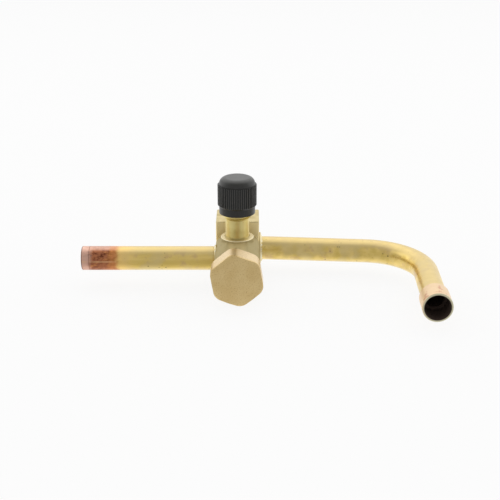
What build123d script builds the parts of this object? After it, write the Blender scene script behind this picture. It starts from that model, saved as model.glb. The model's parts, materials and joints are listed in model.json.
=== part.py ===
# Brass refrigerant service valve with a capped access port and two brazed tubes.
# Millimetres, +Z up. The origin is where the stem axis leaves the flat rear face of the block.
# The stem axis runs along Y and the stem cap faces -Y. The access port points up.
from build123d import *
from math import cos, radians, sin, tan
import os

# tubes
tube_radius = 9.525 / 2
tube_wall = 0.81
straight_tube_length = 56.5
tube_end_chamfer = 0.2
seated_end_reduction = 0.17
seated_end_margin = 0.12
socket_wall = 0.8
socket_bore_radius = 4.84
socket_depth = 9.5
socket_taper_length = 1.6
bend_radius = 22.8
bend_angle = 88.2
outlet_corner_reach = 74.4
outlet_leg_length = 54.9
sweep_start = 12.5
sweep_yaw = 3.7
sweep_dip = 0.5
sweep_radius = 50.0

# forged body
body_half_width = 8.65
barrel_corner_radius = 9.6
barrel_length = 38.2
block_depth = 15.6
block_top = 12.7
block_edge_radius = 0.5
outlet_port_y = -7.3
outlet_port_drop = 1.6
line_port_y = -22.8
boss_radius = 6.5
outlet_boss_reach = 9.5
port_boss_top = 9.45
boss_edge_chamfer = 0.25
tube_seat_depth = 3.6
neck_radius = 7.9
neck_length = 6.0
neck_chamfer = 0.7
neck_relief_width = 1.3
neck_relief_depth = 0.9
line_passage_radius = 3.3
outlet_passage_radius = 2.6
rear_wall = 2.8

# bores along the stem axis
gland_radius = 5.05
gland_length = 12.4
stem_bore_radius = 3.95
seat_y = -14.6
orifice_radius = 2.9

# stem
stem_thread_radius = 5.0
stem_thread_length = 7.6
stem_head_setback = 4.5
stem_shaft_radius = 3.9
stem_tip_radius = 2.3
stem_nose_radius = 3.5
stem_nose_taper = 30.0
stem_nose_land = 1.0
stem_shaft_length = 5.7
stem_key_width = 4.76
stem_key_depth = 3.6
stem_end_chamfer = 0.4
seal_cord_radius = 0.7
seal_land = 0.45
ring_radial_width = 1.5
ring_thickness = 0.8
ring_setback = 0.5
ring_gap_angle = 40.0

# stem cap
cap_flat_width = 19.05
cap_corner_radius = 10.75
cap_length = 8.5
cap_turned = 9.8
cap_face_chamfer_radius = 9.5
cap_face_chamfer_angle = 25.0
cap_gasket_thickness = 0.8
cap_gasket_inner_radius = 5.5

# access port
port_stub_radius = 4.0
port_stub_length = 3.2
port_neck_radius = 4.63
port_thread_start = 17.6
port_thread_radius = 5.54
port_thread_end = 27.2
port_cone_height = 1.5
port_thread_chamfer = 0.6
core_thread_radius = 2.65
core_thread_depth = 7.2
core_cone_height = 1.3
port_bore_radius = 1.95
passage_radius = 1.5

# access core
core_head_setback = 1.4
core_head_height = 2.0
core_slot_width = 2.3
core_barrel_length = 5.6
core_tail_radius = 1.55
core_tail_length = 3.4
core_chamber_radius = 1.35
core_pin_radius = 0.5
core_pin_proud = 0.7
core_collar_radius = 1.15
core_collar_height = 0.6
core_cup_radius = 1.6
core_cup_height = 1.5
core_cup_seal_height = 0.7
core_pin_tail = 1.2
core_ring_height = 1.2
spring_wire_radius = 0.14
spring_turns = 3.5
core_stroke = 1.4

# access port cap
cap_skirt_bottom = 19.3
cap_skirt_radius = 7.02
cap_band_bottom = 22.6
cap_band_top = 30.7
cap_band_radius = 7.6
cap_band_slope = 0.5
cap_shoulder_height = 0.3
cap_shoulder_radius = 2.6
cap_rib_count = 56
cap_rib_depth = 0.3
cap_rib_share = 0.5
cap_mouth_radius = 6.1
cap_mouth_depth = 1.2
cap_seal_thickness = 1.0
cap_seal_inner_radius = 2.2
cap_pocket_radius = 2.4
cap_pocket_height = 1.2

# braze rings
braze_height = 0.7
port_braze_height = 0.45
braze_hollow = 0.35

# clearances
thread_clearance = 0.06
seat_clearance = 0.03
braze_clearance = 0.04
slide_clearance = 0.05

# worked out from the sizes above
shoulder_y = -barrel_length
neck_end_y = shoulder_y - neck_length
cap_back_y = shoulder_y - 0.2
cap_front_y = cap_back_y - cap_length
cap_floor_y = neck_end_y - cap_gasket_thickness - 2 * seat_clearance
port_top = port_thread_end + port_cone_height
cap_ceiling = port_top + cap_seal_thickness + 2 * seat_clearance
cap_shoulder_z = cap_band_top + cap_shoulder_height
cap_top = cap_shoulder_z + cap_shoulder_radius
line_seat_x = -body_half_width + tube_seat_depth
line_spigot_radius = tube_radius - seated_end_reduction
sized_down_x = -body_half_width - braze_height - seated_end_margin
outlet_seat_x = outlet_boss_reach - tube_seat_depth
core_top = port_top - core_head_setback
core_seat_z = port_top - core_thread_depth
pin_top = core_top + core_pin_proud
barrel_bottom = core_top - core_barrel_length
tail_bottom = barrel_bottom - core_tail_length
collar_bottom = core_top - core_head_height / 2 - core_collar_height
spring_floor = barrel_bottom + 0.8
stem_head_y = neck_end_y + stem_head_setback
stem_head_end_y = stem_head_y + stem_thread_length
stem_shaft_end_y = stem_head_end_y + stem_shaft_length
seal_groove_half = seal_cord_radius + slide_clearance
seal_y = stem_shaft_end_y - seal_land - seal_groove_half
seal_ring_radius = stem_bore_radius - slide_clearance - seal_cord_radius

along_stem = Plane(origin=(0, 0, 0), x_dir=(1, 0, 0), z_dir=(0, -1, 0))


def turned_up(points, y=0.0):
    """Solid turned about the vertical line x = 0 at this y, from (radius, z) points."""
    face = make_face(Polyline(*[(r, 0, z) for r, z in points], close=True))
    return Pos(0, y, 0) * revolve(face, Axis.Z)


def turned_forward(points):
    """Solid turned about the stem axis, from (radius, y) points."""
    face = make_face(Polyline(*[(r, y, 0) for r, y in points], close=True))
    return revolve(face, Axis.Y)


def rod_x(radius, x0, x1, y, z):
    """Cylinder along X from x0 to x1."""
    plane = Plane(origin=(min(x0, x1), y, z), x_dir=(0, 1, 0), z_dir=(1, 0, 0))
    return extrude(plane * Circle(radius), abs(x1 - x0))


def box_between(low, high):
    """Box from its low corner to its high corner."""
    size = [b - a for a, b in zip(low, high)]
    middle = [(a + b) / 2 for a, b in zip(low, high)]
    return Pos(*middle) * Box(*size)


def valve_body():
    """Square-sided barrel with round corners, rear block, two bosses and the threaded neck."""
    barrel = box_between(
        (-body_half_width, shoulder_y, -body_half_width),
        (body_half_width, -block_depth / 2, body_half_width),
    )
    barrel &= turned_forward(
        [(0, shoulder_y), (barrel_corner_radius, shoulder_y), (barrel_corner_radius, 0), (0, 0)]
    )
    block = box_between(
        (-body_half_width, -block_depth, -body_half_width), (body_half_width, 0, block_top)
    )
    rounded = block.edges().group_by(Axis.Z)[-1] + block.edges().filter_by(Axis.Z)
    block = fillet(rounded, block_edge_radius)
    boss_up = turned_up(
        [
            (0, 0),
            (boss_radius, 0),
            (boss_radius, port_boss_top - boss_edge_chamfer),
            (boss_radius - boss_edge_chamfer, port_boss_top),
            (0, port_boss_top),
        ],
        line_port_y,
    )
    boss_side = rod_x(boss_radius, 0, outlet_boss_reach, outlet_port_y, -outlet_port_drop)
    boss_side = chamfer(boss_side.faces().sort_by(Axis.X)[-1].edges(), boss_edge_chamfer)
    relief_radius = neck_radius - neck_relief_depth
    neck = turned_forward(
        [
            (0, shoulder_y + 1),
            (relief_radius, shoulder_y + 1),
            (relief_radius, shoulder_y - neck_relief_width),
            (neck_radius, shoulder_y - neck_relief_width - neck_relief_depth),
            (neck_radius, neck_end_y + neck_chamfer),
            (neck_radius - neck_chamfer, neck_end_y),
            (0, neck_end_y),
        ]
    )
    body = barrel + block + boss_up + boss_side + neck
    gland_end_y = neck_end_y + gland_length
    ring_radius = gland_radius + ring_thickness / 2
    ring_front_y = neck_end_y + ring_setback
    ring_back_y = ring_front_y + ring_thickness + 2 * slide_clearance
    bore = turned_forward(
        [
            (0, neck_end_y),
            (gland_radius, neck_end_y),
            (gland_radius, ring_front_y),
            (ring_radius, ring_front_y),
            (ring_radius, ring_back_y),
            (gland_radius, ring_back_y),
            (gland_radius, gland_end_y),
            (stem_bore_radius, gland_end_y + gland_radius - stem_bore_radius),
            (stem_bore_radius, seat_y),
            (orifice_radius, seat_y),
            (orifice_radius, -rear_wall - orifice_radius),
            (0, -rear_wall),
        ]
    )
    body -= bore
    seat_radius = tube_radius + braze_clearance
    line_hole = line_spigot_radius + braze_clearance
    body -= rod_x(line_hole, -body_half_width, line_seat_x, line_port_y, 0)
    body -= rod_x(line_passage_radius, line_seat_x, 0, line_port_y, 0)
    body -= rod_x(seat_radius, outlet_seat_x, outlet_boss_reach, outlet_port_y, -outlet_port_drop)
    body -= rod_x(outlet_passage_radius, 0, outlet_seat_x, outlet_port_y, -outlet_port_drop)
    stub_hole = port_stub_radius + braze_clearance
    stub_floor = port_boss_top - port_stub_length
    body -= turned_up(
        [
            (0, 0),
            (passage_radius, 0),
            (passage_radius, stub_floor),
            (stub_hole, stub_floor),
            (stub_hole, port_boss_top),
            (0, port_boss_top),
        ],
        line_port_y,
    )
    return body


def straight_tube():
    """Straight line tube, sized down a little where it is seated in the left-hand port."""
    end_x = line_seat_x - straight_tube_length
    outer = rod_x(tube_radius, end_x, sized_down_x, line_port_y, 0)
    outer = chamfer(outer.faces().sort_by(Axis.X)[0].edges(), tube_end_chamfer)
    outer += rod_x(line_spigot_radius, sized_down_x, line_seat_x, line_port_y, 0)
    return outer - rod_x(tube_radius - tube_wall, end_x, line_seat_x, line_port_y, 0)


def outlet_points():
    """Corners of the outlet tube's centre line, from its seat to its mouth."""
    yaw = radians(sweep_yaw)
    dip = radians(sweep_dip)
    start = Vector(outlet_seat_x, outlet_port_y, -outlet_port_drop)
    kink = Vector(sweep_start, outlet_port_y, -outlet_port_drop)
    away = Vector(cos(yaw), -sin(yaw), -tan(dip))
    corner = kink + away * (outlet_corner_reach - sweep_start)
    turn = radians(sweep_yaw + bend_angle)
    leg = Vector(cos(turn), -sin(turn), 0)
    mouth = corner + leg * outlet_leg_length
    return start, kink, corner, mouth, leg


def bent_tube():
    """Outlet tube: a slight sweep, a right-angled bend and a swaged socket at its mouth."""
    start, kink, corner, mouth, leg = outlet_points()
    socket_length = socket_depth + socket_taper_length
    neck_end = mouth - leg * socket_length
    route = FilletPolyline(start, kink, corner, neck_end, radius=[sweep_radius, bend_radius])
    ring = Plane(origin=start, z_dir=(1, 0, 0))
    inner_radius = tube_radius - tube_wall
    section = make_face(ring * Circle(tube_radius)) - make_face(ring * Circle(inner_radius))
    tube = sweep(section, path=route)
    outer_radius = socket_bore_radius + socket_wall
    profile = Polyline(
        (inner_radius, 0),
        (inner_radius, socket_taper_length * 0.8),
        (socket_bore_radius, socket_taper_length),
        (socket_bore_radius, socket_length),
        (outer_radius - tube_end_chamfer, socket_length),
        (outer_radius, socket_length - tube_end_chamfer),
        (outer_radius, socket_taper_length),
        (tube_radius, 0),
        close=True,
    )
    bell = revolve(Plane.XZ * make_face(profile), Axis.Z)
    return tube + Plane(origin=neck_end, z_dir=leg) * bell


def braze_ring(inner, height):
    """Fillet of braze metal round a joint, standing on the XY plane, hollow in its middle."""
    hollow = height * braze_hollow
    section = Polyline(
        (inner, 0), (inner + height, 0), (inner + hollow, hollow), (inner, height), close=True
    )
    return revolve(Plane.XZ * make_face(section), Axis.Z)


def straight_tube_braze():
    """Braze fillet where the straight tube enters the body."""
    where = Plane(origin=(-body_half_width, line_port_y, 0), z_dir=(-1, 0, 0))
    return where * braze_ring(line_spigot_radius, braze_height)


def bent_tube_braze():
    """Braze fillet where the outlet tube enters its boss."""
    where = Plane(origin=(outlet_boss_reach, outlet_port_y, -outlet_port_drop), z_dir=(1, 0, 0))
    return where * braze_ring(tube_radius, braze_height)


def service_port_braze():
    """Braze fillet round the foot of the access port."""
    return Pos(0, line_port_y, port_boss_top) * braze_ring(port_neck_radius, port_braze_height)


def service_port():
    """Turned access port with a flare cone and the stepped bore that holds the core."""
    stub_bottom = port_boss_top - port_stub_length
    cone_radius = port_thread_radius - port_thread_chamfer
    outer = turned_up(
        [
            (0, stub_bottom),
            (port_stub_radius, stub_bottom),
            (port_stub_radius, port_boss_top),
            (port_neck_radius, port_boss_top),
            (port_neck_radius, port_thread_start - port_thread_chamfer),
            (port_thread_radius, port_thread_start + port_thread_chamfer / 2),
            (port_thread_radius, port_thread_end - port_thread_chamfer),
            (cone_radius, port_thread_end),
            (cone_radius - port_cone_height, port_top),
            (0, port_top),
        ],
        line_port_y,
    )
    bore = turned_up(
        [
            (0, stub_bottom),
            (port_bore_radius, stub_bottom),
            (port_bore_radius, core_seat_z - core_cone_height),
            (core_thread_radius, core_seat_z),
            (core_thread_radius, port_top),
            (0, port_top),
        ],
        line_port_y,
    )
    return outer - bore


def core_barrel():
    """Body of the access core, with a slotted head and a spring chamber."""
    head_radius = core_thread_radius - thread_clearance
    hole = core_pin_radius + slide_clearance
    barrel = turned_up(
        [
            (hole, tail_bottom),
            (core_tail_radius, tail_bottom),
            (core_tail_radius, barrel_bottom - seat_clearance),
            (core_tail_radius, barrel_bottom),
            (head_radius, barrel_bottom),
            (head_radius, core_top),
            (core_chamber_radius, core_top),
            (core_chamber_radius, spring_floor),
            (hole, spring_floor),
        ],
        line_port_y,
    )
    reach = 2 * core_thread_radius
    for side in (-1, 1):
        middle = side * (core_slot_width / 2 + reach / 2)
        flat = Pos(middle, line_port_y, core_top) * Box(reach, 2 * reach, 2 * core_head_height)
        barrel -= flat
    return barrel


def core_seal_ring():
    """Soft ring round the core that seals on the cone in the bore."""
    top = barrel_bottom - seat_clearance
    inner = core_tail_radius
    return turned_up(
        [
            (inner, top - core_ring_height),
            (port_bore_radius - slide_clearance, top - core_ring_height),
            (port_bore_radius + 0.3, top - core_ring_height / 2),
            (port_bore_radius + 0.3, top),
            (inner, top),
        ],
        line_port_y,
    )


def core_pin():
    """Core pin with its spring collar; it is pushed down to open the core."""
    cup_top = tail_bottom - core_cup_seal_height - 2 * seat_clearance
    cup_bottom = cup_top - core_cup_height
    return turned_up(
        [
            (0, cup_bottom - core_pin_tail),
            (core_pin_radius, cup_bottom - core_pin_tail),
            (core_pin_radius, cup_bottom),
            (core_cup_radius, cup_bottom),
            (core_cup_radius, cup_top),
            (core_pin_radius, cup_top),
            (core_pin_radius, collar_bottom),
            (core_collar_radius, collar_bottom),
            (core_collar_radius, collar_bottom + core_collar_height),
            (core_pin_radius, collar_bottom + core_collar_height),
            (core_pin_radius, pin_top - core_pin_radius / 2),
            (core_pin_radius / 2, pin_top),
            (0, pin_top),
        ],
        line_port_y,
    )


def core_cup_seal():
    """Soft disc on the pin's cup that closes the foot of the core."""
    top = tail_bottom - seat_clearance
    return turned_up(
        [
            (core_pin_radius + seat_clearance, top - core_cup_seal_height),
            (core_cup_radius, top - core_cup_seal_height),
            (core_cup_radius, top),
            (core_pin_radius + seat_clearance, top),
        ],
        line_port_y,
    )


def core_spring():
    """Coil spring between the pin's collar and the floor of the core's chamber."""
    foot = spring_floor + spring_wire_radius + seat_clearance
    height = collar_bottom - spring_wire_radius - seat_clearance - foot
    mean_radius = (core_pin_radius + core_chamber_radius) / 2
    coil = Helix(pitch=height / spring_turns, height=height, radius=mean_radius)
    section = Plane(origin=coil @ 0, z_dir=coil % 0) * RegularPolygon(spring_wire_radius, 4)
    wire = sweep(section, path=coil, is_frenet=True)
    return Pos(0, line_port_y, foot) * wire


def port_cap():
    """Moulded cap: ribbed grip band, plain skirt and a rounded top."""
    flat_radius = cap_skirt_radius - cap_shoulder_radius
    outline = Polyline(
        (0, cap_skirt_bottom),
        (cap_skirt_radius, cap_skirt_bottom),
        (cap_skirt_radius, cap_band_bottom - cap_band_slope),
        (cap_band_radius - cap_rib_depth, cap_band_bottom),
        (cap_band_radius - cap_rib_depth, cap_band_top),
        (cap_skirt_radius, cap_band_top),
        (cap_skirt_radius, cap_shoulder_z),
    )
    arc_mid = cap_shoulder_radius * (1 - cos(radians(45)))
    rounding = ThreePointArc(
        (cap_skirt_radius, cap_shoulder_z),
        (cap_skirt_radius - arc_mid, cap_top - arc_mid),
        (flat_radius, cap_top),
    )
    lid = Polyline(
        (flat_radius, cap_top),
        (0, cap_top),
        (0, cap_skirt_bottom),
    )
    shell = revolve(Plane.XZ * make_face(outline + rounding + lid), Axis.Z)
    inner_radius = port_thread_radius + thread_clearance
    hollow = turned_up(
        [
            (0, cap_skirt_bottom),
            (cap_mouth_radius, cap_skirt_bottom),
            (cap_mouth_radius, cap_skirt_bottom + cap_mouth_depth),
            (inner_radius, cap_skirt_bottom + cap_mouth_depth + cap_mouth_radius - inner_radius),
            (inner_radius, cap_ceiling),
            (cap_pocket_radius, cap_ceiling),
            (cap_pocket_radius, cap_ceiling + cap_pocket_height),
            (0, cap_ceiling + cap_pocket_height),
        ]
    )
    shell -= hollow
    pitch = 360 / cap_rib_count
    root = cap_band_radius - 2 * cap_rib_depth
    half = cap_rib_share * radians(pitch) * cap_band_radius / 2
    rib_profile = Polyline(
        (root, -half), (cap_band_radius, -half * 0.6), (cap_band_radius, half * 0.6), (root, half), close=True
    )
    rib_height = cap_band_top - cap_band_bottom
    rib = extrude(Plane.XY.offset(cap_band_bottom) * make_face(rib_profile), rib_height)
    ribs = [Rot(0, 0, pitch * turn) * rib for turn in range(cap_rib_count)]
    return Pos(0, line_port_y, 0) * (shell + ribs)


def port_cap_seal():
    """Rubber ring in the roof of the cap, resting on the port's rim."""
    bottom = port_top + seat_clearance
    return turned_up(
        [
            (cap_seal_inner_radius, bottom),
            (port_thread_radius - port_thread_chamfer, bottom),
            (port_thread_radius - port_thread_chamfer, bottom + cap_seal_thickness),
            (cap_seal_inner_radius, bottom + cap_seal_thickness),
        ],
        line_port_y,
    )


def stem_cap():
    """Hexagon seal cap with turned corners, a plain face and a blind threaded bore."""
    hexagon = RegularPolygon(cap_flat_width / 2, 6, major_radius=False, rotation=30 + cap_turned)
    cap = extrude(along_stem.offset(-cap_back_y) * hexagon, cap_length)
    slope = tan(radians(cap_face_chamfer_angle))
    drop = (cap_corner_radius - cap_face_chamfer_radius) * slope
    cap &= turned_forward(
        [
            (0, cap_back_y),
            (cap_face_chamfer_radius, cap_back_y),
            (cap_corner_radius, cap_back_y - drop),
            (cap_corner_radius, cap_front_y + drop),
            (cap_face_chamfer_radius, cap_front_y),
            (0, cap_front_y),
        ]
    )
    bore_radius = neck_radius + thread_clearance
    lead = bore_radius + neck_chamfer / 2
    cap -= turned_forward(
        [
            (0, cap_back_y),
            (lead, cap_back_y),
            (bore_radius, cap_back_y - neck_chamfer / 2),
            (bore_radius, cap_floor_y),
            (0, cap_floor_y),
        ]
    )
    return cap


def stem_cap_gasket():
    """Flat seal ring in the floor of the stem cap, resting on the end of the neck."""
    back_y = neck_end_y - seat_clearance
    front_y = back_y - cap_gasket_thickness
    outer = neck_radius - neck_chamfer / 2
    return turned_forward(
        [
            (cap_gasket_inner_radius, back_y),
            (outer, back_y),
            (outer, front_y),
            (cap_gasket_inner_radius, front_y),
        ]
    )


def valve_stem():
    """Stem with a threaded head, key socket, seal groove and a cone that closes the seat."""
    groove_radius = seal_ring_radius - seal_cord_radius - slide_clearance
    nose_slope = 1 / tan(radians(stem_nose_taper))
    nose_y = seat_y - seat_clearance - (stem_nose_radius - orifice_radius) * nose_slope
    point_radius = stem_tip_radius / 2
    nose_end_y = nose_y + (stem_nose_radius - point_radius) * nose_slope
    stem = turned_forward(
        [
            (0, stem_head_y),
            (stem_thread_radius - stem_end_chamfer, stem_head_y),
            (stem_thread_radius, stem_head_y + stem_end_chamfer),
            (stem_thread_radius, stem_head_end_y - stem_end_chamfer),
            (stem_shaft_radius, stem_head_end_y),
            (stem_shaft_radius, seal_y - seal_groove_half),
            (groove_radius, seal_y - seal_groove_half),
            (groove_radius, seal_y + seal_groove_half),
            (stem_shaft_radius, seal_y + seal_groove_half),
            (stem_shaft_radius, stem_shaft_end_y),
            (stem_tip_radius, stem_shaft_end_y),
            (stem_tip_radius, nose_y - stem_nose_land),
            (stem_nose_radius, nose_y - stem_nose_land),
            (stem_nose_radius, nose_y),
            (point_radius, nose_end_y),
            (0, nose_end_y),
        ]
    )
    key = along_stem.offset(-stem_head_y) * RegularPolygon(stem_key_width / 2, 6, major_radius=False)
    return stem - extrude(key, -stem_key_depth)


def stem_seal():
    """Seal ring of eight-sided cord in the stem's groove."""
    cord = Pos(seal_ring_radius, seal_y) * RegularPolygon(seal_cord_radius, 8, rotation=22.5)
    return revolve(cord, Axis.Y)


def stem_retaining_ring():
    """Split ring in the mouth of the gland that keeps the stem in."""
    outer = gland_radius + ring_thickness / 2 - slide_clearance
    inner = outer - ring_radial_width
    front_y = neck_end_y + ring_setback + slide_clearance
    back_y = front_y + ring_thickness
    ring = turned_forward([(inner, front_y), (outer, front_y), (outer, back_y), (inner, back_y)])
    half = outer * sin(radians(ring_gap_angle / 2))
    gap = box_between((-half, front_y - 1, 0), (half, back_y + 1, outer + 1))
    return ring - gap


parts = {
    "valve_body": valve_body,
    "straight_tube": straight_tube,
    "straight_tube_braze": straight_tube_braze,
    "bent_tube": bent_tube,
    "bent_tube_braze": bent_tube_braze,
    "service_port": service_port,
    "service_port_braze": service_port_braze,
    "core_barrel": core_barrel,
    "core_seal_ring": core_seal_ring,
    "core_pin": core_pin,
    "core_cup_seal": core_cup_seal,
    "core_spring": core_spring,
    "port_cap": port_cap,
    "port_cap_seal": port_cap_seal,
    "stem_cap": stem_cap,
    "stem_cap_gasket": stem_cap_gasket,
    "valve_stem": valve_stem,
    "stem_seal": stem_seal,
    "stem_retaining_ring": stem_retaining_ring,
}

os.makedirs("parts", exist_ok=True)
for name, make in parts.items():
    export_step(make(), f"parts/{name}.step")
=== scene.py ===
import bpy
import json
from math import cos, pi, radians, sin
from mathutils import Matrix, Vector


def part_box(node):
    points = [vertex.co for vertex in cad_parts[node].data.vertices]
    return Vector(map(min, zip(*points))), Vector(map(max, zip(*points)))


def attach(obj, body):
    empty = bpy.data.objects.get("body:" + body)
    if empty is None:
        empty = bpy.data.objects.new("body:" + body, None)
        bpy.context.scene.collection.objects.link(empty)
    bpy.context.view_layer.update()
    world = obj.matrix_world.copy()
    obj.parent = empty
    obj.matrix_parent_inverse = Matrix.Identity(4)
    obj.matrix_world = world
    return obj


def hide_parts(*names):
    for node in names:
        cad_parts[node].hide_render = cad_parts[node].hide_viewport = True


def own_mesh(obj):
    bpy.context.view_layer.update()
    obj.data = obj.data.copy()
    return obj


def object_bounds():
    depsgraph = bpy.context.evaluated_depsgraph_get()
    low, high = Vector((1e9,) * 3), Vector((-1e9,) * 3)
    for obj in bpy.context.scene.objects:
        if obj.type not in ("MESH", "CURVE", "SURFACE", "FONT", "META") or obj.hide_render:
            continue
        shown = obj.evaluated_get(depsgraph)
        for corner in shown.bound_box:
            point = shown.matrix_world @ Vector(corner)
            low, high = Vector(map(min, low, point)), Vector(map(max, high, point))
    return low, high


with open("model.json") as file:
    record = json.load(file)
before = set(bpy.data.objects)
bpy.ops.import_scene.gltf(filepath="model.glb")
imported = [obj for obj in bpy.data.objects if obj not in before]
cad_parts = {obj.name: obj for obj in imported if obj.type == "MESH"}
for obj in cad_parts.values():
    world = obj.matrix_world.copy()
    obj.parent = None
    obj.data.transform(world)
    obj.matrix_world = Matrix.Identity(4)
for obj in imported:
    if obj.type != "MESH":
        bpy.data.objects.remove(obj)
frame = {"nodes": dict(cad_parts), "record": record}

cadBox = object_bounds()
nodes = frame["nodes"]
bpy.ops.object.select_all(action="DESELECT")
print("frame loaded:", len(nodes), "nodes")


def linear(channel):
    c = channel / 255
    return c / 12.92 if c <= 0.04045 else ((c + 0.055) / 1.055) ** 2.4


def paint(red, green, blue):
    return (linear(red), linear(green), linear(blue), 1.0)


class Wire:
    # one socket that can stand in an expression
    def __init__(self, finish, socket):
        self.finish = finish
        self.socket = socket

    def maths(self, operation, first, second=0.0):
        return self.finish.add("ShaderNodeMath", {"operation": operation}, {0: first, 1: second})

    def __add__(self, other):
        return self.maths("ADD", self, other)

    def __radd__(self, other):
        return self.maths("ADD", other, self)

    def __sub__(self, other):
        return self.maths("SUBTRACT", self, other)

    def __rsub__(self, other):
        return self.maths("SUBTRACT", other, self)

    def __mul__(self, other):
        return self.maths("MULTIPLY", self, other)

    def __rmul__(self, other):
        return self.maths("MULTIPLY", other, self)

    def root(self):
        return self.maths("SQRT", self)

    def wave(self):
        return self.maths("SINE", self)

    def size(self):
        return self.maths("ABSOLUTE", self)

    def largest(self, other):
        return self.maths("MAXIMUM", self, other)


class Finish:
    # the nodes of one material, or of the world
    def __init__(self, name, world=False):
        self.owner = (bpy.data.worlds if world else bpy.data.materials).new(name)
        self.owner.use_nodes = True
        self.tree = self.owner.node_tree
        self.tree.nodes.clear()
        self.place = self.add("ShaderNodeTexCoord", {}, {}, "Generated" if world else "Object")
        split = [self.add("ShaderNodeSeparateXYZ", {}, {0: self.place}, axis) for axis in "XYZ"]
        self.x, self.y, self.z = split

    def add(self, kind, settings, inputs, output=0):
        node = self.tree.nodes.new(kind)
        for key, value in settings.items():
            setattr(node, key, value)
        for key, value in inputs.items():
            if isinstance(value, Wire):
                self.tree.links.new(value.socket, node.inputs[key])
            else:
                node.inputs[key].default_value = value
        return Wire(self, node.outputs[output]) if node.outputs else None

    def noise(self, scale, detail=3.0, rough=0.55, stretch=None, shift=None):
        place = self.place
        if stretch or shift:
            inputs = {"Vector": place, "Scale": stretch or (1, 1, 1), "Location": shift or (0, 0, 0)}
            place = self.add("ShaderNodeMapping", {}, inputs)
        inputs = {"Vector": place, "Scale": scale, "Detail": detail, "Roughness": rough}
        return self.add("ShaderNodeTexNoise", {"noise_dimensions": "3D"}, inputs)

    def cells(self, scale):
        settings = {"voronoi_dimensions": "3D", "feature": "F1"}
        return self.add("ShaderNodeTexVoronoi", settings, {"Vector": self.place, "Scale": scale})

    def step(self, value, low, high):
        # 0 below low, 1 above high, smooth between
        settings = {"interpolation_type": "SMOOTHSTEP"}
        return self.add("ShaderNodeMapRange", settings, {0: value, 1: low, 2: high})

    def band(self, value, low, high, soft):
        return self.step(value, low - soft, low + soft) * self.step(value, high + soft, high - soft)

    def mix(self, factor, first, second):
        settings = {"data_type": "RGBA", "blend_type": "MIX"}
        return self.add("ShaderNodeMix", settings, {0: factor, 6: first, 7: second}, 2)

    def crevice(self, reach):
        # 1 in a narrow corner, 0 in the open
        inputs = {"Distance": reach}
        settings = {"samples": 8, "only_local": True}
        return 1 - self.add("ShaderNodeAmbientOcclusion", settings, inputs, "AO")

    def roundEdge(self, radius):
        return self.add("ShaderNodeBevel", {"samples": 6}, {"Radius": radius})

    def bump(self, height, strength, distance, edge=None):
        inputs = {"Height": height, "Strength": strength, "Distance": distance}
        if edge:
            inputs["Normal"] = self.roundEdge(edge)
        return self.add("ShaderNodeBump", {}, inputs)

    def surface(self, **inputs):
        named = {key.replace("_", " "): value for key, value in inputs.items()}
        shader = self.add("ShaderNodeBsdfPrincipled", {}, named)
        self.add("ShaderNodeOutputMaterial", {}, {"Surface": shader})
        return self.owner


# places that the frame gives
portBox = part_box("service_port")
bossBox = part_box("service_port_braze")
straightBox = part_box("straight_tube")
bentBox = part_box("bent_tube")
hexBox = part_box("stem_cap")
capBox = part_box("port_cap")
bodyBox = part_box("valve_body")
portY = (portBox[0].y + portBox[1].y) / 2
tubeRadius = (straightBox[1].z - straightBox[0].z) / 2
bossTop = bossBox[0].z
outletSocket = [m for m in frame["record"]["mounts"] if m["name"] == "outlet_socket"][0]
mouthAxis = Vector(outletSocket["axis"])
mouthPlace = Vector(outletSocket["pos_m"]) + mouthAxis * outletSocket["dims"]["length_mm"] / 2000


def fromPortAxis(finish):
    across = finish.y - portY
    return (finish.x * finish.x + across * across).root()


def fromStemAxis(finish):
    return (finish.x * finish.x + finish.z * finish.z).root()


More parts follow.
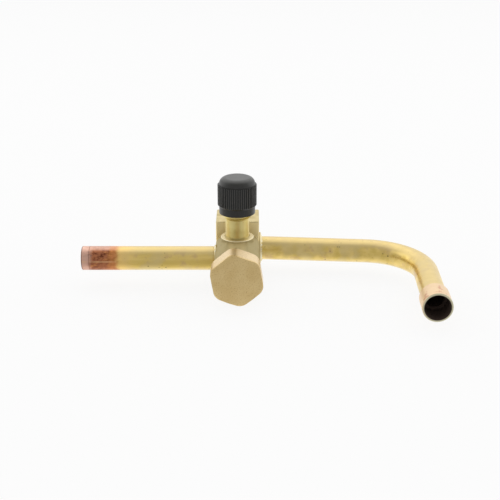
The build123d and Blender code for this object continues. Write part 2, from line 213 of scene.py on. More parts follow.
def forgedBrass():
    look = {
        "deep": paint(198, 180, 130),
        "light": paint(216, 200, 154),
        "green": paint(170, 162, 116),
        "machined": paint(230, 216, 178),
        "face": paint(244, 228, 180),
        "barrel": paint(176, 162, 118),
        # stain also serves as the painted shade in corners
        "stain": paint(132, 112, 62),
        "rough": 0.48,
        "grain": 1500,
        "seam": 0.00022,
    }
    # where the cutter and the dies leave off, and where the painted light on the barrel top fades, in
    # metres
    edge = {
        "boss": 0.0067,
        "side": 0.0091,
        "neck": 0.0061,
        "barrel": -0.0158,
        "paintedLightSaddle": 0.0050,
        "face": 0.0126,
    }
    finish = Finish("forgedBrass")
    cloud = finish.noise(170, 3.0)
    blot = finish.noise(520, 3.0, 0.6, shift=(0.3, 0.1, 0.2))
    speck = finish.noise(look["grain"], 4.0, 0.6)
    colour = finish.mix(finish.step(cloud, 0.35, 0.65), look["deep"], look["light"])
    colour = finish.mix(finish.step(blot, 0.45, 0.75) * 0.35, colour, look["green"])
    colour = finish.mix(finish.step(speck, 0.58, 0.75) * 0.30, colour, look["stain"])
    reach = fromPortAxis(finish)
    onBoss = finish.step(finish.z, bossTop - 0.0004, bossTop - 0.0002)
    onBoss = onBoss * finish.step(reach, edge["boss"], 0.0066)
    onSide = finish.step(finish.x, edge["side"], 0.0093)
    onNeck = finish.step(finish.y, bodyBox[0].y + edge["neck"], bodyBox[0].y + 0.0060)
    machined = onBoss.largest(onSide).largest(onNeck)
    onBarrel = finish.step(finish.y, edge["barrel"], -0.0162)
    colour = finish.mix(onBarrel * 0.80, colour, look["barrel"])
    # painted light: the top of the barrel is made paler near x = 0, behind the neck
    paintedLightSaddle = onBarrel * finish.step(finish.x.size(), edge["paintedLightSaddle"], 0.0020)
    paintedLightSaddle = paintedLightSaddle * finish.step(finish.z, 0.0, 0.004)
    colour = finish.mix(paintedLightSaddle * 0.8, colour, look["light"])
    onFace = finish.band(finish.y, edge["barrel"], -0.0152, 0.0002)
    onFace = onFace * finish.step(finish.z, edge["face"], 0.0122)
    colour = finish.mix(onFace, colour, look["face"])
    colour = finish.mix(machined * 0.9, colour, look["machined"])
    # dirt and painted shade: darker in corners and creases, such as round the foot of the port neck
    corner = finish.crevice(0.0016)
    colour = finish.mix(finish.step(corner, 0.35, 0.85) * 0.55, colour, look["stain"])
    rough = look["rough"] + speck * 0.14 + onBarrel * 0.14 - machined * 0.24
    wavy = finish.x + (finish.noise(420, 2.0) - 0.5) * 0.0005
    seam = finish.step(wavy.size(), look["seam"], look["seam"] * 0.2) * finish.step(finish.z, 0.0, 0.002)
    seam = seam * finish.step(finish.y, -0.0160, -0.0165) * (1 - machined)
    height = speck * 0.5 + finish.noise(620, 2.0) * 0.7 + seam * 1.6
    bump = finish.bump(height * (1 - machined * 0.85), 0.35, 0.00009, edge=0.00022)
    return finish.surface(Base_Color=colour, Metallic=1.0, Roughness=rough, Normal=bump)


def turnedBrass(name, up):
    # tool marks follow the turning: along z on the port, along y on the stem
    look = {
        "base": paint(222, 206, 140),
        "dark": paint(202, 182, 108),
        "smear": paint(206, 176, 120),
        # foot is the painted shade colour for corners and the foot of the port
        "foot": paint(132, 112, 66),
        "footShadeHigh": 0.0008,
        "ring": 0.00021,
        "rough": 0.30,
    }
    finish = Finish(name)
    along = finish.z if up else finish.y
    ring = (along * (2 * pi / look["ring"])).wave()
    cloud = finish.noise(260, 2.0)
    smear = finish.noise(500, 3.0, 0.6, stretch=(1, 1, 0.25) if up else (1, 0.25, 1))
    colour = finish.mix(finish.step(cloud, 0.4, 0.7) * 0.6, look["base"], look["dark"])
    colour = finish.mix(finish.step(smear, 0.5, 0.7) * 0.35, colour, look["smear"])
    # painted shade: darker in corners, and in a band at the foot of the port neck
    corner = finish.crevice(0.0008)
    colour = finish.mix(finish.step(corner, 0.4, 0.9) * 0.5, colour, look["foot"])
    if up:
        foot = finish.step(finish.z, bossTop + look["footShadeHigh"], bossTop + 0.0002)
        colour = finish.mix(foot * 0.6, colour, look["foot"])
    rough = look["rough"] + cloud * 0.12 + smear * 0.06
    bump = finish.bump(ring * 0.4 + smear * 0.5, 0.25, 0.00003, edge=0.0001)
    return finish.surface(Base_Color=colour, Metallic=1.0, Roughness=rough, Normal=bump)


def capBrass():
    look = {
        "base": paint(228, 202, 146),
        "warm": paint(214, 184, 124),
        "cream": paint(232, 212, 178),
        "dot": paint(160, 122, 74),
        "ring": 0.00030,
        "rough": 0.36,
    }
    finish = Finish("capBrass")
    speck = finish.noise(2300, 3.0, 0.65)
    cloud = finish.noise(150, 2.0)
    colour = finish.mix(finish.step(cloud, 0.35, 0.7) * 0.5, look["base"], look["warm"])
    onFlats = finish.step(finish.y, hexBox[0].y + 0.0008, hexBox[0].y + 0.0016)
    colour = finish.mix(onFlats * 0.6, colour, look["cream"])
    colour = finish.mix(finish.step(speck, 0.50, 0.72) * 0.45, colour, look["dot"])
    pit = finish.step(finish.cells(620), 0.10, 0.05) * finish.step(finish.noise(260, 2.0), 0.5, 0.6)
    colour = finish.mix(pit * 0.45, colour, look["dot"])
    turned = (fromStemAxis(finish) * (2 * pi / look["ring"])).wave()
    rough = look["rough"] + speck * 0.14
    height = speck * 0.7 + finish.noise(700, 2.0) * 0.6 + turned * 0.12 - pit
    bump = finish.bump(height, 0.30, 0.00006, edge=0.00030)
    return finish.surface(Base_Color=colour, Metallic=1.0, Roughness=rough, Normal=bump)


def tubeMetal(name, bore, end, offAxis, drawn):
    # drawn is how far the marks are pulled out along x
    look = {
        "brass": paint(236, 208, 130),
        "olive": paint(216, 188, 104),
        "grey": paint(208, 188, 136),
        # top is painted shade for the top of the tube, cream a painted highlight for its bottom
        "top": paint(216, 194, 138),
        "brown": paint(196, 164, 124),
        "cream": paint(236, 222, 180),
        "dirt": paint(104, 84, 46),
        # inside is painted shade for the bore
        "inside": paint(74, 58, 49),
    }
    finish = Finish(name)
    streak = finish.noise(300, 4.0, 0.55, stretch=(drawn, 1.0, 1.0))
    cloud = finish.noise(110, 3.0, 0.5, shift=(0.31, 0.0, 0.1))
    stain = finish.noise(170, 3.0, 0.6, shift=(0.2, 0.7, 0.4))
    colour = finish.mix(finish.step(streak, 0.34, 0.68), look["brass"], look["olive"])
    colour = finish.mix(finish.step(cloud, 0.50, 0.66) * 0.55, colour, look["grey"])
    colour = finish.mix(finish.step(stain, 0.51, 0.66) * 0.55, colour, look["brown"])
    spot = finish.step(finish.cells(460), 0.22, 0.10) * finish.step(finish.noise(190, 2.0), 0.50, 0.58)
    colour = finish.mix(spot * 0.70, colour, look["dirt"])
    height = offAxis(finish)
    # painted highlight: paler along the bottom of the tube; painted shade: darker along the top
    colour = finish.mix(finish.step(height, -0.40, -0.95) * 0.6, colour, look["cream"])
    colour = finish.mix(finish.step(height, 0.45, 0.85) * 0.75, colour, look["top"])
    colour, extraRough = end(finish, colour)
    # painted shade: the bore is made dark and dull inside the tube
    inside = bore(finish)
    colour = finish.mix(inside, colour, look["inside"])
    rough = 0.30 + streak * 0.08 + extraRough + inside * 0.45
    bump = finish.bump(streak * 0.6 + stain * 0.4 + spot * 0.3, 0.10, 0.00005, edge=0.00012)
    return finish.surface(Base_Color=colour, Metallic=1 - inside, Roughness=rough, Normal=bump)


def straightBore(finish):
    across = finish.y - portY
    reach = (across * across + finish.z * finish.z).root()
    return finish.step(reach, tubeRadius * 0.91, tubeRadius * 0.88)


def straightOffAxis(finish):
    return finish.z * (1 / tubeRadius)


def bentOffAxis(finish):
    middle = (bentBox[0].z + bentBox[1].z) / 2
    return (finish.z - middle) * (1 / tubeRadius)


def straightEnd(finish, colour):
    # heat-coloured copper where the end was cleaned for brazing
    look = {
        "length": 0.0143,
        "fade": 0.0016,
        "goldStart": 0.0150,
        "goldEnd": 0.0230,
        "line": 0.0031,
        "rim": 0.00045,
        "pink": paint(232, 194, 176),
        "red": paint(178, 114, 80),
        "brown": paint(104, 54, 38),
        "orange": paint(224, 152, 88),
        "gold": paint(246, 204, 124),
        "paintedHighlight": paint(236, 190, 140),
        "cut": paint(104, 66, 50),
    }
    end = straightBox[0].x
    wander = (finish.noise(260, 4.0, 0.6) - 0.5) * 0.0044
    along = finish.x + wander
    gold = finish.step(along, end + look["goldEnd"], end + look["goldStart"])
    colour = finish.mix(gold * 0.55, colour, look["gold"])
    copper = finish.step(along, end + look["length"] + look["fade"], end + look["length"] - look["fade"])
    patch = finish.step(finish.noise(640, 5.0, 0.7, stretch=(0.7, 1, 1)), 0.40, 0.62)
    high = finish.step(finish.z, -0.0006, 0.0016) * finish.step(finish.z, 0.0049, 0.0034)
    tone = finish.mix(patch * (0.40 + high * 0.60), look["red"], look["brown"])
    scrape = finish.noise(900, 4.0, 0.7, stretch=(0.4, 1, 1), shift=(0, 0.5, 0))
    worn = finish.step(scrape, 0.52, 0.66)
    tone = finish.mix(worn * 0.45, tone, look["orange"])
    # painted highlight: pinker and paler along the top and bottom of the copper
    tone = finish.mix(finish.step(finish.z.size(), 0.0038, 0.0047) * 0.6, tone, look["pink"])
    tone = finish.mix(finish.step(along, end + 0.0050, end + 0.0018) * 0.7, tone, look["pink"])
    tone = finish.mix(finish.band(along, end + 0.0110, end + 0.0150, 0.0010) * 0.5, tone, look["orange"])
    line = finish.step((finish.x - end - look["line"]).size(), 0.00022, 0.00008)
    tone = finish.mix(line * 0.45, tone, look["brown"])
    # painted highlight: a pale line along the middle height of the copper
    paintedHighlight = finish.step((finish.z - 0.0002).size(), 0.00030, 0.00008)
    paintedHighlight = paintedHighlight * finish.step(finish.noise(300, 2.0), 0.35, 0.55)
    tone = finish.mix(paintedHighlight * 0.7, tone, look["paintedHighlight"])
    rim = finish.step(finish.x, end + look["rim"], end + 0.0002)
    tone = finish.mix(rim * 0.9, tone, look["cut"])
    return finish.mix(copper, colour, tone), copper * (0.06 + patch * 0.12)


def fromMouthAxis(finish):
    across = (finish.x - mouthPlace.x) * -mouthAxis.y + (finish.y - mouthPlace.y) * mouthAxis.x
    up = finish.z - mouthPlace.z
    return (across * across + up * up).root()


def bentBore(finish):
    # the socket, the straight leg behind it and the taper between them: radius and depth of each
    zones = {
        "socket": {"radius": 0.00504, "core": 0.00494, "depth": 0.0106, "end": 0.0110},
        "leg": {"radius": 0.00440, "core": 0.00425, "depth": 0.030, "end": 0.032},
        "taper": {"radius": 0.00470, "core": 0.00460, "depth": 0.0110, "end": 0.0114},
    }
    reach = fromMouthAxis(finish)
    inside = []
    for zone in zones.values():
        depth = finish.step(finish.y, mouthPlace.y + zone["end"], mouthPlace.y + zone["depth"])
        inside.append(finish.step(reach, zone["radius"], zone["core"]) * depth)
    return inside[0].largest(inside[1]).largest(inside[2])


def bentEnd(finish, colour):
    # the swaged bell is copper-pink, with a line where the swage starts and a pale cut rim
    look = {
        "pink": paint(230, 202, 170),
        "red": paint(186, 118, 92),
        "rim": paint(206, 206, 178),
        "length": 0.0126,
        "line": 0.0106,
        "rimWide": 0.00030,
    }
    wander = (finish.noise(280, 3.0) - 0.5) * 0.0018
    along = finish.y + wander
    bell = finish.step(along, mouthPlace.y + look["length"], mouthPlace.y + 0.0104)
    tone = finish.mix(bell * 0.8, colour, look["pink"])
    patch = finish.step(finish.noise(330, 3.0, 0.6, shift=(0.11, 0.2, 0.0)), 0.55, 0.68)
    tone = finish.mix(patch * bell * 0.6, tone, look["red"])
    line = finish.step((finish.y - mouthPlace.y - look["line"]).size(), 0.00040, 0.00015)
    tone = finish.mix(line * 0.35, tone, look["red"])
    rim = finish.step(finish.y, mouthPlace.y + look["rimWide"], mouthPlace.y + 0.00012)
    return finish.mix(rim * 0.8, tone, look["rim"]), bell * 0.05


def plainMetal(name, colour, rough):
    finish = Finish(name)
    grain = finish.noise(1800, 3.0)
    dark = tuple(c * 0.6 for c in colour[:3]) + (1.0,)
    tone = finish.mix(finish.step(grain, 0.4, 0.7) * 0.4, colour, dark)
    bump = finish.bump(grain, 0.2, 0.00003)
    return finish.surface(Base_Color=tone, Metallic=1.0, Roughness=rough + grain * 0.1, Normal=bump)


def brazeMetal():
    look = {"silver": paint(236, 230, 206), "flux": paint(176, 160, 116), "brass": paint(220, 200, 140)}
    finish = Finish("brazeMetal")
    cloud = finish.noise(900, 3.0)
    tone = finish.mix(finish.step(cloud, 0.40, 0.62), look["silver"], look["brass"])
    tone = finish.mix(finish.step(finish.noise(1500, 3.0), 0.58, 0.72) * 0.6, tone, look["flux"])
    bump = finish.bump(cloud, 0.35, 0.00008)
    return finish.surface(Base_Color=tone, Metallic=1.0, Roughness=0.26 + cloud * 0.2, Normal=bump)


def capPlastic():
    look = {
        "base": paint(34, 34, 31),
        "worn": paint(50, 50, 46),
        # the next two are painted shade for grooves and skirt, and painted highlight for rib tips and
        # top
        "paintedShade": paint(12, 12, 11),
        "crest": paint(84, 84, 81),
        "rough": 0.32,
    }
    ribs = {"low": 0.0226, "high": 0.0307, "root": 0.00742, "tip": 0.00750}
    finish = Finish("capPlastic")
    grain = finish.noise(2600, 3.0)
    cloud = finish.noise(320, 3.0)
    colour = finish.mix(finish.step(cloud, 0.4, 0.7) * 0.5, look["base"], look["worn"])
    scuff = finish.step(finish.noise(900, 4.0, 0.7, stretch=(1, 1, 0.2)), 0.60, 0.72)
    colour = finish.mix(scuff * 0.35, colour, look["worn"])
    reach = fromPortAxis(finish)
    # painted shade in the rib grooves and painted highlight on the rib tips
    inBand = finish.band(finish.z, ribs["low"], ribs["high"], 0.0001)
    colour = finish.mix(inBand * finish.step(reach, ribs["root"], 0.00732), colour, look["paintedShade"])
    colour = finish.mix(inBand * finish.step(reach, ribs["tip"], 0.00758) * 0.6, colour, look["crest"])
    # painted shade: darker below the ribs
    colour = finish.mix(finish.step(finish.z, ribs["low"], 0.0224) * 0.5, colour, look["paintedShade"])
    # painted sheen: lighter across the top of the cap
    topSheen = finish.step(finish.z, capBox[1].z - 0.0012, capBox[1].z - 0.0003)
    colour = finish.mix(topSheen * 0.8, colour, look["crest"])
    rough = look["rough"] + grain * 0.12 + scuff * 0.1
    bump = finish.bump(grain * 0.6 + cloud * 0.5, 0.25, 0.00005, edge=0.00015)
    return finish.surface(Base_Color=colour, Roughness=rough, Normal=bump)


def softSeal(name, colour):
    finish = Finish(name)
    grain = finish.noise(2000, 2.0)
    tone = finish.mix(grain, colour, tuple(c * 0.8 for c in colour[:3]) + (1.0,))
    bump = finish.bump(grain, 0.2, 0.00004)
    return finish.surface(Base_Color=tone, Roughness=0.55 + grain * 0.1, Normal=bump)


portBrass = turnedBrass("portBrass", True)
stemBrass = turnedBrass("stemBrass", False)
bodyBrass = forgedBrass()
hexBrass = capBrass()
blackPlastic = capPlastic()
silverBraze = brazeMetal()
coreBrass = plainMetal("coreBrass", paint(214, 184, 112), 0.28)
springSteel = plainMetal("springSteel", paint(190, 190, 186), 0.3)
sealRubber = softSeal("sealRubber", paint(38, 38, 36))
sealPlastic = softSeal("sealPlastic", paint(226, 224, 214))
finishes = {
    "valve_body": bodyBrass,
    "service_port": portBrass,
    "stem_cap": hexBrass,
    "straight_tube": tubeMetal("straightTubeMetal", straightBore, straightEnd, straightOffAxis, 0.15),
    "bent_tube": tubeMetal("bentTubeMetal", bentBore, bentEnd, bentOffAxis, 0.8),
    "port_cap": blackPlastic,
    "straight_tube_braze": silverBraze,
    "bent_tube_braze": silverBraze,
    "service_port_braze": portBrass,
    "core_barrel": coreBrass,
    "core_pin": coreBrass,
    "valve_stem": stemBrass,
    "core_spring": springSteel,
    "stem_retaining_ring": springSteel,
    "core_cup_seal": sealRubber,
    "port_cap_seal": sealRubber,
    "stem_seal": sealRubber,
    "core_seal_ring": sealPlastic,
    "stem_cap_gasket": sealPlastic,
}
for name, node in nodes.items():
    node.data.materials.clear()
    node.data.materials.append(finishes[name])
print("finishes made:", len(finishes))


# points nearer than weld are one, a thread has so many steps to a turn and its blank so many sides
fine = {"weld": 0.000001, "steps": 64, "sides": 96}


def takeUp(piece):
    bpy.ops.object.select_all(action="DESELECT")
    piece.select_set(True)
    bpy.context.view_layer.objects.active = piece


def pick(piece, kind, chosen):
    # in edit mode, with only the chosen points, edges or faces selected
    takeUp(piece)
    bpy.ops.object.mode_set(mode="EDIT")
    bpy.ops.mesh.select_mode(type=kind)
    bpy.ops.mesh.select_all(action="DESELECT")
    bpy.ops.object.mode_set(mode="OBJECT")
    mesh = piece.data
    for item in {"VERT": mesh.vertices, "EDGE": mesh.edges, "FACE": mesh.polygons}[kind]:
        item.select = chosen(item)
    bpy.ops.object.mode_set(mode="EDIT")


def twin(name, node):
    # a new piece that starts as a solid's own mesh, merged
    piece = bpy.data.objects.new(name, nodes[node].data.copy())
    bpy.context.scene.collection.objects.link(piece)
    takeUp(piece)
    if piece.data.has_custom_normals:
        bpy.ops.mesh.customdata_custom_splitnormals_clear()
    bpy.ops.object.mode_set(mode="EDIT")
    bpy.ops.mesh.select_all(action="SELECT")
    bpy.ops.mesh.remove_doubles(threshold=fine["weld"])
    bpy.ops.object.mode_set(mode="OBJECT")
    return piece


def applyAll(piece):
    takeUp(piece)
    for modifier in list(piece.modifiers):
        bpy.ops.object.modifier_apply(modifier=modifier.name)


def settle(piece, finish, body, angle=30.0):
    takeUp(piece)
    bpy.ops.object.transform_apply(location=True, rotation=True, scale=True)
    bpy.ops.object.shade_smooth_by_angle(angle=radians(angle))
    piece.data.materials.clear()
    piece.data.materials.append(finish)
    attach(piece, body)
    return piece


def fromAxis(point, middleY, up):
    return (Vector((point.x, point.y - middleY)) if up else Vector((point.x, point.z))).length


def narrow(piece, chosen, share, middleY, up):
    # draws the chosen points in towards the axis
    pick(piece, "VERT", lambda point: chosen(point.co))
    size = (share, share, 1) if up else (share, 1, share)
    bpy.ops.transform.resize(value=size, center_override=(0, middleY if up else 0, 0))
    bpy.ops.object.mode_set(mode="OBJECT")


def threadRidge(name, thread):
    # right-hand ridge wound up z from low to high; foot and tip are its radii
    foot, tip, pitch = thread["foot"], thread["tip"], thread["pitch"]
    low, high = thread["low"], thread["high"]
    turns = int((high - low) / pitch) + 3
    start = (int(low / pitch) - 1 + thread["phase"]) * pitch
    middle = ((foot + tip) / 2, 0, start)
    bpy.ops.mesh.primitive_plane_add(size=1, location=middle, rotation=(pi / 2, 0, 0))
    ridge = bpy.context.object
    ridge.name = name
    ridge.scale = (abs(tip - foot), pitch * thread["footShare"], 1)
    bpy.ops.object.transform_apply(location=True, rotation=True, scale=True)
    pick(ridge, "VERT", lambda point: abs(point.co.x - tip) < abs(tip - foot) * 0.2)
    slope = thread["tipShare"] / thread["footShare"]
    bpy.ops.transform.resize(value=(1, 1, slope), center_override=(tip, 0, start))
    bpy.ops.object.mode_set(mode="OBJECT")
    screw = ridge.modifiers.new("screw", "SCREW")
    screw.axis = "Z"
    screw.screw_offset = pitch
    screw.iterations = turns
    screw.steps = screw.render_steps = fine["steps"]
    screw.use_merge_vertices = True
    screw.merge_threshold = fine["weld"]
    applyAll(ridge)
    bpy.ops.object.mode_set(mode="EDIT")
    bpy.ops.mesh.select_all(action="SELECT")
    bpy.ops.mesh.remove_doubles(threshold=fine["weld"])
    bpy.ops.mesh.fill_holes(sides=0)
    bpy.ops.mesh.select_all(action="SELECT")
    bpy.ops.mesh.normals_make_consistent(inside=False)
    bpy.ops.object.mode_set(mode="OBJECT")
    outer = max(foot, tip)
    blankRadius = outer if tip > foot else outer + 0.001
    bpy.ops.mesh.primitive_cylinder_add(
        vertices=fine["sides"], radius=blankRadius, depth=high - low, location=(0, 0, (low + high) / 2))
    blank = bpy.context.object
    bpy.ops.object.transform_apply(location=True, rotation=True, scale=True)
    if tip > foot:
        pick(blank, "FACE", lambda face: abs(face.normal.z) > 0.9)
        bpy.ops.mesh.region_to_loop()
        bpy.ops.mesh.bevel(offset=thread["runOut"], segments=1)
        bpy.ops.object.mode_set(mode="OBJECT")
    trim = ridge.modifiers.new("trim", "BOOLEAN")
    trim.operation = "INTERSECT"
    trim.solver = "EXACT"
    trim.object = blank
    applyAll(ridge)
    bpy.data.objects.remove(blank, do_unlink=True)
    return ridge


def placeThread(ridge, middleY, up):
    takeUp(ridge)
    if up:
        ridge.location = (0, middleY, 0)
    else:
        ridge.rotation_euler = (pi / 2, 0, 0)   # winds towards -y
    bpy.ops.object.transform_apply(location=True, rotation=True, scale=True)


threads = {
    "port": {"crest": 0.00554, "pitch": 0.00127, "low": 0.0173, "high": 0.02725, "runOut": 0.0007},
    "neck": {"crest": 0.0079, "pitch": 0.001411, "low": 0.0396, "high": 0.0442, "runOut": 0.0008},
    "stem": {"crest": 0.0050, "pitch": 0.0010, "low": 0.0321, "high": 0.0397, "runOut": 0.0004},
}
innerThreads = {
    "port": {"wall": 0.0056, "low": 0.0212, "high": 0.0281},
    "neck": {"wall": 0.00796, "low": 0.0388, "high": 0.0441},
    "stem": {"wall": 0.00505, "low": 0.0322, "high": 0.0427},
}


# depth as a share of the pitch, and how far a ridge's foot is sunk in its wall
ridgeForm = {"outerDepth": 0.6134, "innerDepth": 0.53, "sunk": 0.00004, "tipShare": 0.14}


def outerRidge(name, size):
    root = size["crest"] - size["pitch"] * ridgeForm["outerDepth"]
    thread = dict(size, foot=root - ridgeForm["sunk"], tip=size["crest"])
    thread.update(footShare=0.80, tipShare=ridgeForm["tipShare"], phase=0.0)
    return threadRidge(name, thread), root


def innerRidge(name, size, inner):
    tip = size["crest"] - size["pitch"] * ridgeForm["innerDepth"]
    thread = dict(size, low=inner["low"], high=inner["high"], foot=inner["wall"] + ridgeForm["sunk"])
    thread.update(tip=tip, footShare=0.76, tipShare=ridgeForm["tipShare"], phase=0.5)
    return threadRidge(name, thread)


def buildBody():
    neck = {
        "runOut": 0.0005,
        "under": 0.0004,
        "endDeep": 0.00005,
        "endFrom": 0.0071,
        "endShare": 0.0068 / 0.0072,
    }
    body = twin("bodyForging", "valve_body")
    ridge, root = outerRidge("neckThread", threads["neck"])
    crest = threads["neck"]["crest"]
    start = -threads["neck"]["low"] + neck["runOut"]
    end = bodyBox[0].y + neck["endDeep"]

    def onThread(p):
        return p.y < start and fromAxis(p, 0, False) > crest - neck["under"]

    def onEnd(p):
        return p.y < end and fromAxis(p, 0, False) > neck["endFrom"]

    narrow(body, onThread, root / crest, 0, False)
    narrow(body, onEnd, neck["endShare"], 0, False)
    placeThread(ridge, 0, False)
    gland = innerRidge("glandThread", threads["stem"], innerThreads["stem"])
    placeThread(gland, 0, False)
    settle(body, bodyBrass, "valve")
    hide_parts("valve_body")
    settle(ridge, stemBrass, "valve")
    settle(gland, stemBrass, "valve")


def buildPort():
    flare = {"under": 0.0003, "from": 0.0270, "wider": 0.0048, "share": 0.0047 / 0.00494}
    port = twin("accessPort", "service_port")
    ridge, root = outerRidge("portThread", threads["port"])
    crest = threads["port"]["crest"]
    narrow(port, lambda p: fromAxis(p, portY, True) > crest - flare["under"], root / crest, portY, True)

    def atCone(p):
        return p.z > flare["from"] and fromAxis(p, portY, True) > flare["wider"]

    narrow(port, atCone, flare["share"], portY, True)
    placeThread(ridge, portY, True)
    settle(port, portBrass, "valve")
    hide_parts("service_port")
    settle(ridge, portBrass, "valve")
    inner = innerRidge("portCapThread", threads["port"], innerThreads["port"])
    placeThread(inner, portY, True)
    settle(inner, blackPlastic, "port_cap")


def buildStem():
    threadFrom = 0.00445
    stem = twin("stemSpindle", "valve_stem")
    ridge, root = outerRidge("stemThread", threads["stem"])
    crest = threads["stem"]["crest"]
    narrow(stem, lambda p: fromAxis(p, 0, False) > threadFrom, root / crest, 0, False)
    placeThread(ridge, 0, False)
    settle(stem, stemBrass, "stem")
    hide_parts("valve_stem")
    settle(ridge, stemBrass, "stem")


def buildStemCap():
    # the solid's hexagon with its six corners rounded over
    hexagon = {"flats": 0.01905, "corner": 0.0021, "turned": 9.8}
    cap = twin("stemCapShell", "stem_cap")
    length = hexBox[1].y - hexBox[0].y
    middle = (hexBox[1].y + hexBox[0].y) / 2
    radius = (hexagon["flats"] / 2 + 0.00001) / cos(pi / 6)
    bpy.ops.mesh.primitive_cylinder_add(vertices=6, radius=radius, depth=length * 1.2)
    prism = bpy.context.object
    prism.rotation_euler = (0, 0, radians(hexagon["turned"]))
    bpy.ops.object.transform_apply(location=True, rotation=True, scale=True)
    prism.rotation_euler = (pi / 2, 0, 0)
    prism.location = (0, middle, 0)
    bpy.ops.object.transform_apply(location=True, rotation=True, scale=True)

    def lengthwise(edge):
        ends = [prism.data.vertices[index].co for index in edge.vertices]
        return abs(ends[0].y - ends[1].y) > length

    pick(prism, "EDGE", lengthwise)
    bpy.ops.mesh.bevel(offset=hexagon["corner"], segments=6)
    bpy.ops.object.mode_set(mode="OBJECT")
    trim = cap.modifiers.new("corners", "BOOLEAN")
    trim.operation = "INTERSECT"
    trim.solver = "EXACT"
    trim.object = prism
    applyAll(cap)
    bpy.data.objects.remove(prism, do_unlink=True)
    settle(cap, hexBrass, "stem_cap", 25.0)
    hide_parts("stem_cap")
    inner = innerRidge("stemCapThread", threads["neck"], innerThreads["neck"])
    placeThread(inner, 0, False)
    settle(inner, hexBrass, "stem_cap")


def buildSpring():
    # the solid's coil with its own mesh; how far it would shorten as the pin goes down is worked out but
    # not applied
    low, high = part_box("core_spring")
    press = [j for j in frame["record"]["behaviour"]["joints"] if j["name"] == "core_pin_press"][0]
    tall = high.z - low.z
    spring = twin("coreSpring", "core_spring")
    settle(spring, springSteel, "valve")
    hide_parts("core_spring")
    (tall - press["range_m"][1]) / tall
    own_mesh(spring)


def buildBead(name, node, bead):
    # braze metal that has run round the joint, a little uneven
    low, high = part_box(node)
    middle = (low + high) / 2
    foot = high.x if bead["side"] < 0 else low.x
    bpy.ops.mesh.primitive_torus_add(
        major_radius=bead["radius"], minor_radius=bead["thick"], major_segments=96, minor_segments=16,
        location=(foot, middle.y, middle.z), rotation=(0, pi / 2, 0))
    ring = bpy.context.object
    ring.name = name
    bpy.ops.object.transform_apply(location=True, rotation=True, scale=True)
    bpy.ops.object.mode_set(mode="EDIT")
    bpy.ops.mesh.select_all(action="SELECT")
    bpy.ops.transform.resize(value=(bead["spread"], 1, 1), center_override=(foot, middle.y, middle.z))
    bpy.ops.object.mode_set(mode="OBJECT")
    cloud = bpy.data.textures.new(name + "Cloud", "CLOUDS")
    cloud.noise_scale = 0.0022
    uneven = ring.modifiers.new("uneven", "DISPLACE")
    uneven.texture = cloud
    uneven.texture_coords = "LOCAL"
    uneven.strength = bead["uneven"]
    uneven.mid_level = 0.6
    smooth = ring.modifiers.new("smooth", "SUBSURF")
    smooth.levels = smooth.render_levels = 1
    applyAll(ring)
    settle(ring, silverBraze, "valve", 60.0)
    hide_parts(node)


buildBody()
buildPort()
buildStem()
buildStemCap()
buildSpring()
bead = {"thick": 0.0006, "spread": 0.9, "uneven": 0.0004}
buildBead("straightBead", "straight_tube_braze", dict(bead, side=-1, radius=0.0047))
buildBead("bentBead", "bent_tube_braze", dict(bead, side=1, radius=0.0048))
print("pieces built")


def buildFloor():
    floor = {"size": 3.0, "colour": paint(250, 250, 250), "seen": 0.88}
    bpy.ops.mesh.primitive_plane_add(size=floor["size"], location=(0, 0, cadBox[0].z))
    plane = bpy.context.object
    plane.name = "studioFloor"
    bpy.ops.object.transform_apply(location=True, rotation=True, scale=True)
    finish = Finish("floorPaint")
    white = finish.add("ShaderNodeBsdfDiffuse", {}, {"Color": floor["colour"]})
    glow = finish.add("ShaderNodeEmission", {}, {"Color": (1, 1, 1, 1), "Strength": 1.0})
    seen = finish.add("ShaderNodeLightPath", {}, {}, "Is Camera Ray")
    mirrored = finish.add("ShaderNodeLightPath", {}, {}, "Is Glossy Ray")
    clear = finish.add("ShaderNodeBsdfTransparent", {}, {})
    blend = finish.add("ShaderNodeMixShader", {}, {0: seen * floor["seen"], 1: white, 2: glow})
    # metal mirrors the tent below the floor, and the floor keeps the shadow
    blend = finish.add("ShaderNodeMixShader", {}, {0: mirrored, 1: blend, 2: clear})
    finish.add("ShaderNodeOutputMaterial", {}, {"Surface": blend})
    plane.data.materials.append(finish.owner)


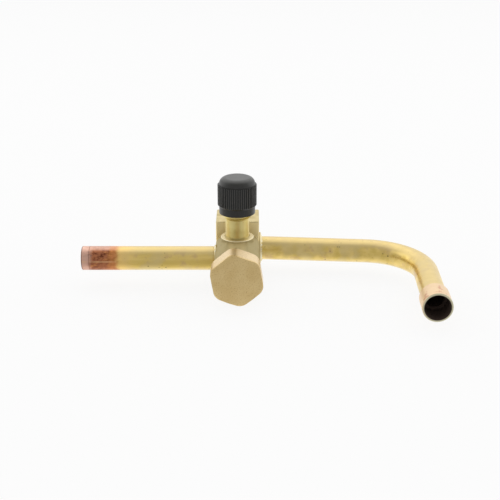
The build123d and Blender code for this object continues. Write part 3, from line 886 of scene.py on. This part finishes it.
def buildCamera():
    view = {"focal": 1016.9, "frame": 500, "pitch": 21.14, "distance": 0.4044,
            "aim": (0.0050, portY + 0.00114, 0.00296)}
    pitch = radians(view["pitch"])
    away = Vector((0, -cos(pitch), sin(pitch)))
    data = bpy.data.cameras.new("studioCamera")
    camera = bpy.data.objects.new("studioCamera", data)
    bpy.context.scene.collection.objects.link(camera)
    data.sensor_width = 36
    data.lens = 36 * view["focal"] / view["frame"]
    data.clip_start = 0.01
    camera.location = Vector(view["aim"]) + away * view["distance"]
    camera.rotation_euler = (pi / 2 - pitch, 0, 0)
    bpy.context.scene.camera = camera


def buildLight():
    lamps = {
        "top": {"place": (0.0, 0.30, 0.70), "size": 0.9, "power": 1.0},
        "left": {"place": (-0.75, 0.15, 0.40), "size": 0.7, "power": 0.8},
        "right": {"place": (0.75, 0.15, 0.40), "size": 0.7, "power": 0.8},
    }
    for name, lamp in lamps.items():
        light = bpy.data.lights.new(name + "Lamp", "AREA")
        light.shape = "SQUARE"
        light.size = lamp["size"]
        light.energy = lamp["power"]
        holder = bpy.data.objects.new(name + "Lamp", light)
        bpy.context.scene.collection.objects.link(holder)
        holder.location = lamp["place"]
        holder.rotation_euler = (-Vector(lamp["place"])).to_track_quat("-Z", "Y").to_euler()
    # a white tent, brightest behind the valve and darkest towards the front
    tent = {"back": 1.15, "front": 0.64, "soft": 0.80, "tilt": radians(21)}
    finish = Finish("studioWorld", world=True)
    behind = finish.y * cos(tent["tilt"]) - finish.z * sin(tent["tilt"])
    level = finish.step(behind, -0.65, 0.60) * (tent["back"] - tent["front"]) + tent["front"]
    seen = finish.add("ShaderNodeLightPath", {}, {}, "Is Camera Ray")
    mirrored = finish.add("ShaderNodeLightPath", {}, {}, "Is Glossy Ray")
    level = level * (mirrored + (1 - mirrored) * tent["soft"])
    strength = seen + (1 - seen) * level
    glow = finish.add("ShaderNodeBackground", {}, {"Color": (1, 1, 1, 1), "Strength": strength})
    finish.add("ShaderNodeOutputWorld", {}, {"Surface": glow})
    bpy.context.scene.world = finish.owner


buildFloor()
buildCamera()
buildLight()
bpy.context.scene.view_settings.view_transform = "Standard"
print("studio set")
